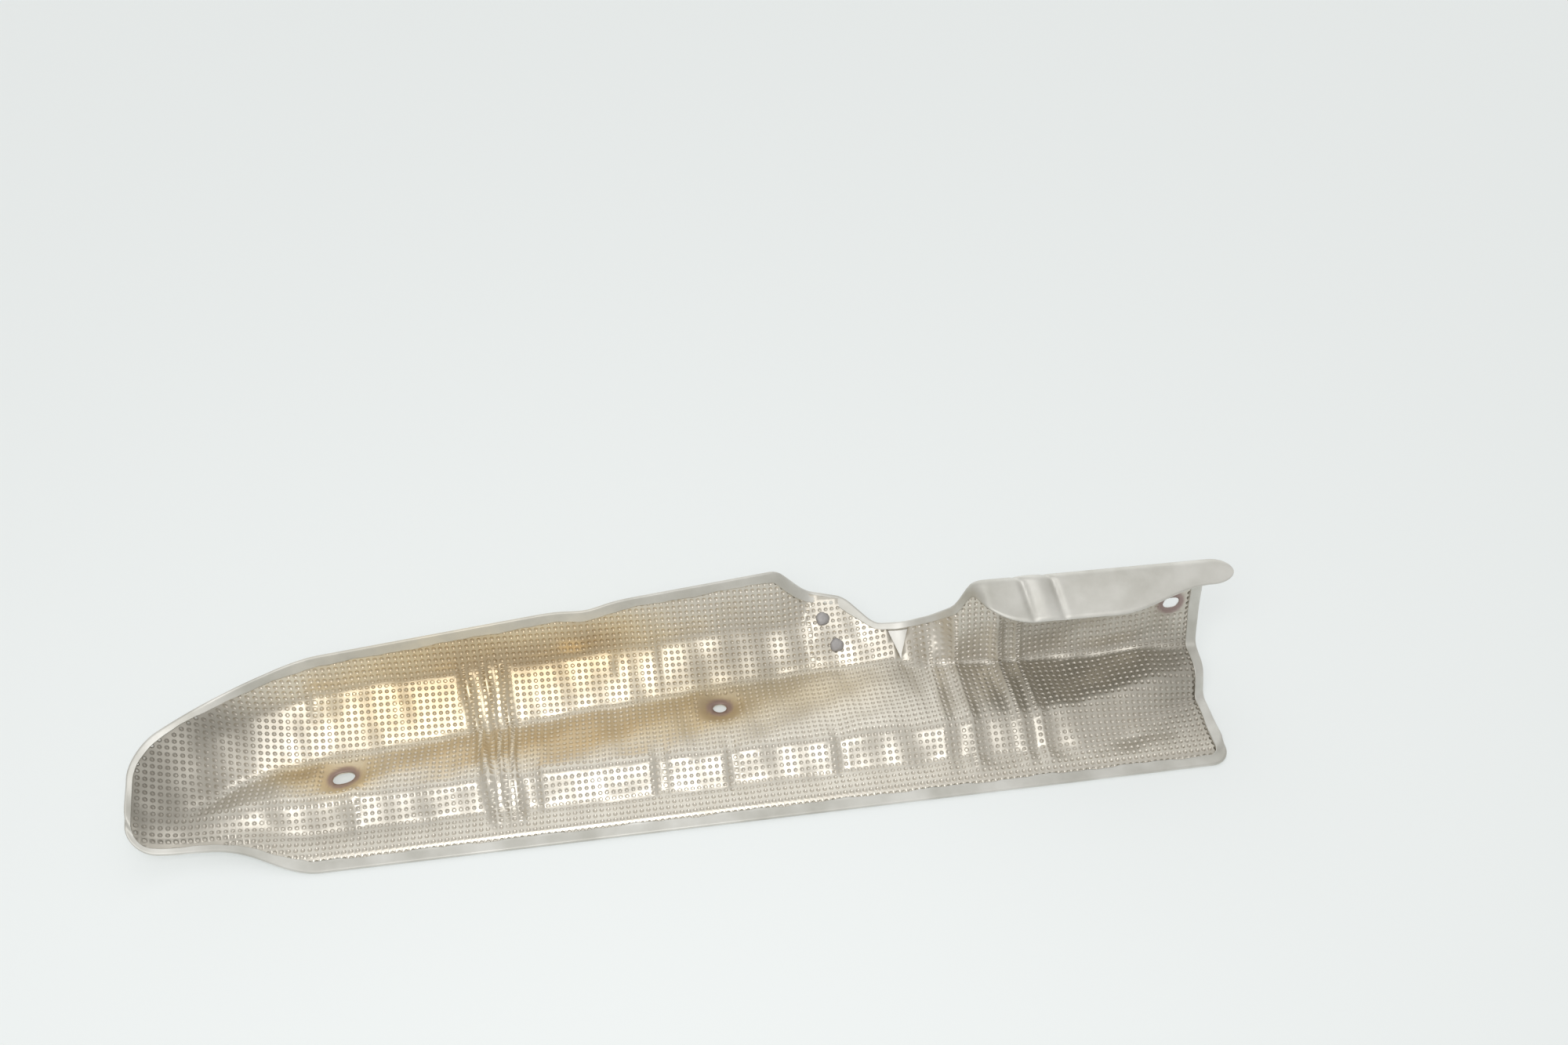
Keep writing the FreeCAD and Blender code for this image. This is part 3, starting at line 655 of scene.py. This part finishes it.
def newGroup(name, inputs, outputs):
    group = bpy.data.node_groups.new(name, "ShaderNodeTree")
    for label, kind, value in inputs:
        socket = group.interface.new_socket(label, in_out="INPUT", socket_type=kind)
        if value is not None:
            socket.default_value = value
    for label, kind in outputs:
        group.interface.new_socket(label, in_out="OUTPUT", socket_type=kind)
    return group, group.nodes.new("NodeGroupInput"), group.nodes.new("NodeGroupOutput")


def noiseNode(tree, coord, scale, detail=3.0, rough=0.55):
    node = tree.nodes.new("ShaderNodeTexNoise")
    node.inputs["Scale"].default_value = scale
    node.inputs["Detail"].default_value = detail
    node.inputs["Roughness"].default_value = rough
    tree.links.new(coord, node.inputs["Vector"])
    return node.outputs["Fac"]


def mathNode(tree, kind, a, b):
    node = tree.nodes.new("ShaderNodeMath")
    node.operation = kind
    for socket, value in zip(node.inputs, (a, b)):
        if isinstance(value, (int, float)):
            socket.default_value = value
        else:
            tree.links.new(value, socket)
    return node.outputs[0]


def rampNode(tree, factor, stops):
    node = tree.nodes.new("ShaderNodeValToRGB")
    for k, (place, colour) in enumerate(stops):
        stop = node.color_ramp.elements[k] if k < 2 else node.color_ramp.elements.new(place)
        stop.position = place
        stop.color = (*colour, 1)
    tree.links.new(factor, node.inputs["Fac"])
    return node.outputs["Color"]


def mixNode(tree, factor, a, b, blend="MIX"):
    node = tree.nodes.new("ShaderNodeMix")
    node.data_type = "RGBA"
    node.blend_type = blend
    for socket, value in ((node.inputs[0], factor), (node.inputs[6], a), (node.inputs[7], b)):
        if isinstance(value, (int, float)):
            socket.default_value = value
        elif isinstance(value, tuple):
            socket.default_value = (*value, 1)
        else:
            tree.links.new(value, socket)
    return node.outputs[2]


# tones of the metals, how strongly dirt and painted shade show, and the scale, strength and depth of their grain; the
# pit tone paints shade into the dimples
metal = {
    "liner": (0.83, 0.79, 0.71, 1), "soil": (0.58, 0.53, 0.44), "blotch": 0.45, "linerRough": 0.28,
    "sootAndShade": 0.92, "sootAndShadeTone": (0.22, 0.21, 0.185), "pit": 0.18, "pitTone": (0.34, 0.28, 0.22),
    "ring": 0.8, "ringTone": (0.40, 0.29, 0.28), "dull": 0.2,
    "skin": (0.79, 0.78, 0.74, 1), "skinSoil": (0.58, 0.57, 0.52), "skinRough": 0.44, "skinScorch": 0.35,
    "smudge": 2.4, "smudgeFrom": 0.34, "blotchRough": 0.2,
    "rivetPale": (0.60, 0.58, 0.57), "rivetDark": (0.36, 0.35, 0.35), "rivetRough": 0.6,
    "tint": ((0.0, (1, 1, 1)), (1.0, (0.60, 0.45, 0.27)), (0.35, (1.0, 0.91, 0.74)), (0.7, (0.90, 0.76, 0.53))),
    "tintScale": 28, "tintBreak": 0.55, "grainScale": 22,
    "linerGrain": (55.0, 0.15, 0.0002), "skinGrain": (38.0, 0.12, 0.0002), "rivetGrain": (260.0, 0.5, 0.0006),
}


# heat tint: bare metal through straw to brown as the mask rises, broken up by noise
def heatTintGroup():
    group, given, put = newGroup("heatTint", [("Vector", "NodeSocketVector", None), ("Mask", "NodeSocketFloat", 0.0),
                                              ("Metal", "NodeSocketColor", (0.7, 0.68, 0.64, 1))],
                                 [("Colour", "NodeSocketColor")])
    cloud = noiseNode(group, given.outputs["Vector"], metal["tintScale"], 4)
    patch = mathNode(group, "MULTIPLY", mathNode(group, "SUBTRACT", cloud, 0.5), metal["tintBreak"])
    level = mathNode(group, "ADD", given.outputs["Mask"], mathNode(group, "MULTIPLY", patch, given.outputs["Mask"]))
    tint = rampNode(group, level, metal["tint"])
    group.links.new(mixNode(group, 1.0, given.outputs["Metal"], tint, "MULTIPLY"), put.inputs["Colour"])
    return group


# worn metal: soft blotches for colour and roughness, fine grain for bump
def wornMetalGroup():
    group, given, put = newGroup("wornMetal",
                                 [("Vector", "NodeSocketVector", None), ("Scale", "NodeSocketFloat", 60.0)],
                                 [("Blotch", "NodeSocketFloat"), ("Grain", "NodeSocketFloat")])
    soft = group.nodes.new("ShaderNodeTexNoise")
    soft.inputs["Detail"].default_value = 5
    fine = group.nodes.new("ShaderNodeTexNoise")
    fine.inputs["Detail"].default_value = 2
    for node in (soft, fine):
        group.links.new(given.outputs["Vector"], node.inputs["Vector"])
    group.links.new(given.outputs["Scale"], soft.inputs["Scale"])
    group.links.new(mathNode(group, "MULTIPLY", given.outputs["Scale"], metal["grainScale"]), fine.inputs["Scale"])
    group.links.new(soft.outputs["Fac"], put.inputs["Blotch"])
    group.links.new(fine.outputs["Fac"], put.inputs["Grain"])
    return group


heatTint, wornMetal = heatTintGroup(), wornMetalGroup()


def startMaterial(name, metallic):
    material = bpy.data.materials.new(name)
    material.use_nodes = True
    tree = material.node_tree
    shader = tree.nodes["Principled BSDF"]
    shader.inputs["Metallic"].default_value = metallic
    coord = tree.nodes.new("ShaderNodeTexCoord").outputs["Object"]
    return material, tree, shader, coord


def attribute(tree, name):
    node = tree.nodes.new("ShaderNodeAttribute")
    node.attribute_name = name
    return node.outputs["Fac"]


def groupNode(tree, group, **given):
    node = tree.nodes.new("ShaderNodeGroup")
    node.node_tree = group
    for label, value in given.items():
        if isinstance(value, (int, float, tuple)):
            node.inputs[label].default_value = value
        else:
            tree.links.new(value, node.inputs[label])
    return node.outputs


def addBump(tree, shader, height, strength, distance):
    bump = tree.nodes.new("ShaderNodeBump")
    bump.inputs["Strength"].default_value = strength
    bump.inputs["Distance"].default_value = distance
    tree.links.new(height, bump.inputs["Height"])
    tree.links.new(bump.outputs["Normal"], shader.inputs["Normal"])


def linerMaterial():
    material, tree, shader, coord = startMaterial("embossed_aluminium", 1.0)
    scale, *grain = metal["linerGrain"]
    worn = groupNode(tree, wornMetal, Vector=coord, Scale=scale)
    tinted = groupNode(tree, heatTint, Vector=coord, Mask=attribute(tree, "scorch"), Metal=metal["liner"])
    blotch = mathNode(tree, "MULTIPLY", worn["Blotch"], metal["blotch"])
    colour = mixNode(tree, blotch, tinted["Colour"], metal["soil"])
    # darkened by soot with painted shade over the tail, by painted shade in the dimple pits, and by the rings round the
    # holes
    for name in ("sootAndShade", "pit", "ring"):
        share = mathNode(tree, "MULTIPLY", attribute(tree, name), metal[name])
        colour = mixNode(tree, share, colour, metal[name + "Tone"])
    tree.links.new(colour, shader.inputs["Base Color"])
    rough = mathNode(tree, "ADD", mathNode(tree, "MULTIPLY", worn["Blotch"], metal["blotchRough"]), metal["linerRough"])
    dull = mathNode(tree, "ADD", attribute(tree, "ring"), attribute(tree, "sootAndShade"))
    rough = mathNode(tree, "ADD", rough, mathNode(tree, "MULTIPLY", dull, metal["dull"]))
    tree.links.new(rough, shader.inputs["Roughness"])
    addBump(tree, shader, worn["Grain"], *grain)
    return material


def skinMaterial():
    material, tree, shader, coord = startMaterial("satin_aluminium", 1.0)
    scale, *grain = metal["skinGrain"]
    worn = groupNode(tree, wornMetal, Vector=coord, Scale=scale)
    scorch = mathNode(tree, "MULTIPLY", attribute(tree, "scorch"), metal["skinScorch"])
    tinted = groupNode(tree, heatTint, Vector=coord, Mask=scorch, Metal=metal["skin"])
    smudge = mathNode(tree, "MULTIPLY", mathNode(tree, "SUBTRACT", worn["Blotch"], metal["smudgeFrom"]),
                      metal["smudge"])
    soiled = mixNode(tree, smudge, tinted["Colour"], metal["skinSoil"])
    tree.links.new(soiled, shader.inputs["Base Color"])
    rough = mathNode(tree, "ADD", mathNode(tree, "MULTIPLY", worn["Blotch"], metal["blotchRough"]), metal["skinRough"])
    tree.links.new(rough, shader.inputs["Roughness"])
    addBump(tree, shader, worn["Grain"], *grain)
    return material


def rivetMaterial():
    material, tree, shader, coord = startMaterial("rough_rivet", 1.0)
    scale, *grain = metal["rivetGrain"]
    worn = groupNode(tree, wornMetal, Vector=coord, Scale=scale)
    tree.links.new(mixNode(tree, worn["Blotch"], metal["rivetPale"], metal["rivetDark"]), shader.inputs["Base Color"])
    shader.inputs["Roughness"].default_value = metal["rivetRough"]
    addBump(tree, shader, worn["Blotch"], *grain)
    return material


linerPiece.data.materials.append(linerMaterial())
skinPiece.data.materials.append(skinMaterial())
rivetObject.data.materials.append(rivetMaterial())
print("materials done")


# floor, light and camera
studio = {
    "floorHalf": 6.0, "floor": (0.60, 0.62, 0.62), "floorSeen": (0.33, 0.345, 0.345), "floorMirrored": 1.0,
    "floorRough": 0.7, "floorGloss": 0.2,
    "back": (1.08, 1.09, 1.08), "room": (0.60, 0.595, 0.58), "backdrop": (0.76, 0.79, 0.79), "skyFrom": -0.35,
    "skyTo": 0.55,
    "lens": 32.4, "sensor": 36, "clip": 0.01, "camera": (-0.022, -0.5037, 0.672), "right": (0.9902, -0.14, 0.0),
    "forward": (0.099, 0.7001, -0.7071),
    "keySize": 0.38, "keyPower": 1.6, "keyUp": 0.1, "keyLeft": 0.1,
}

floorMesh = bpy.data.meshes.new("floor")
far = studio["floorHalf"]
floorMesh.from_pydata([(-far, -far, 0), (far, -far, 0), (far, far, 0), (-far, far, 0)], [], [(0, 1, 2, 3)])
floorPiece = bpy.data.objects.new("floor", floorMesh)
bpy.context.scene.collection.objects.link(floorPiece)
floorMaterial, floorTree, floorShader, _ = startMaterial("pale_floor", 0.0)
floorShader.inputs["Base Color"].default_value = (*studio["floor"], 1)
floorShader.inputs["Roughness"].default_value = studio["floorRough"]
floorShader.inputs["Specular IOR Level"].default_value = studio["floorGloss"]
floorShader.inputs["Emission Color"].default_value = (*studio["floorSeen"], 1)
# the floor is paler to the camera and to mirrored rays, and keeps its shadow
path = floorTree.nodes.new("ShaderNodeLightPath")
mirrored = mathNode(floorTree, "MULTIPLY", path.outputs["Is Glossy Ray"], studio["floorMirrored"])
floorTree.links.new(mathNode(floorTree, "MAXIMUM", path.outputs["Is Camera Ray"], mirrored),
                    floorShader.inputs["Emission Strength"])
floorMesh.materials.append(floorMaterial)

# the world: a pale wall behind, a dim room in front and at the sides
world = bpy.data.worlds.new("studio")
bpy.context.scene.world = world
world.use_nodes = True
worldTree = world.node_tree
skyPlace = worldTree.nodes.new("ShaderNodeTexCoord")
skyParts = worldTree.nodes.new("ShaderNodeSeparateXYZ")
worldTree.links.new(skyPlace.outputs["Generated"], skyParts.inputs[0])
skyShare = worldTree.nodes.new("ShaderNodeMapRange")
skyShare.interpolation_type = "SMOOTHSTEP"
skyShare.inputs["From Min"].default_value = studio["skyFrom"]
skyShare.inputs["From Max"].default_value = studio["skyTo"]
sideways = mathNode(worldTree, "ABSOLUTE", skyParts.outputs["X"], 0.0)
worldTree.links.new(mathNode(worldTree, "SUBTRACT", skyParts.outputs["Y"], sideways), skyShare.inputs["Value"])
skyPath = worldTree.nodes.new("ShaderNodeLightPath")
lit = mixNode(worldTree, skyShare.outputs[0], studio["room"], studio["back"])
worldTree.links.new(mixNode(worldTree, skyPath.outputs["Is Camera Ray"], lit, studio["backdrop"]),
                    worldTree.nodes["Background"].inputs["Color"])

forward = Vector(studio["forward"])
right = Vector(studio["right"])
up = right.cross(forward)
turnMatrix = Matrix((right, up, -forward)).transposed().to_4x4()
cameraData = bpy.data.cameras.new("camera")
cameraData.sensor_width = studio["sensor"]
cameraData.lens = studio["lens"]
cameraData.clip_start = studio["clip"]
camera = bpy.data.objects.new("camera", cameraData)
camera.matrix_world = Matrix.Translation(Vector(studio["camera"])) @ turnMatrix
bpy.context.scene.collection.objects.link(camera)
bpy.context.scene.camera = camera

keyData = bpy.data.lights.new("key", "AREA")
keyData.size = studio["keySize"]
keyData.energy = studio["keyPower"]
key = bpy.data.objects.new("key", keyData)
keyPlace = Vector(studio["camera"]) + up * studio["keyUp"] - right * studio["keyLeft"]
key.matrix_world = Matrix.Translation(keyPlace) @ turnMatrix
bpy.context.scene.collection.objects.link(key)

bpy.context.scene.view_settings.view_transform = "Standard"
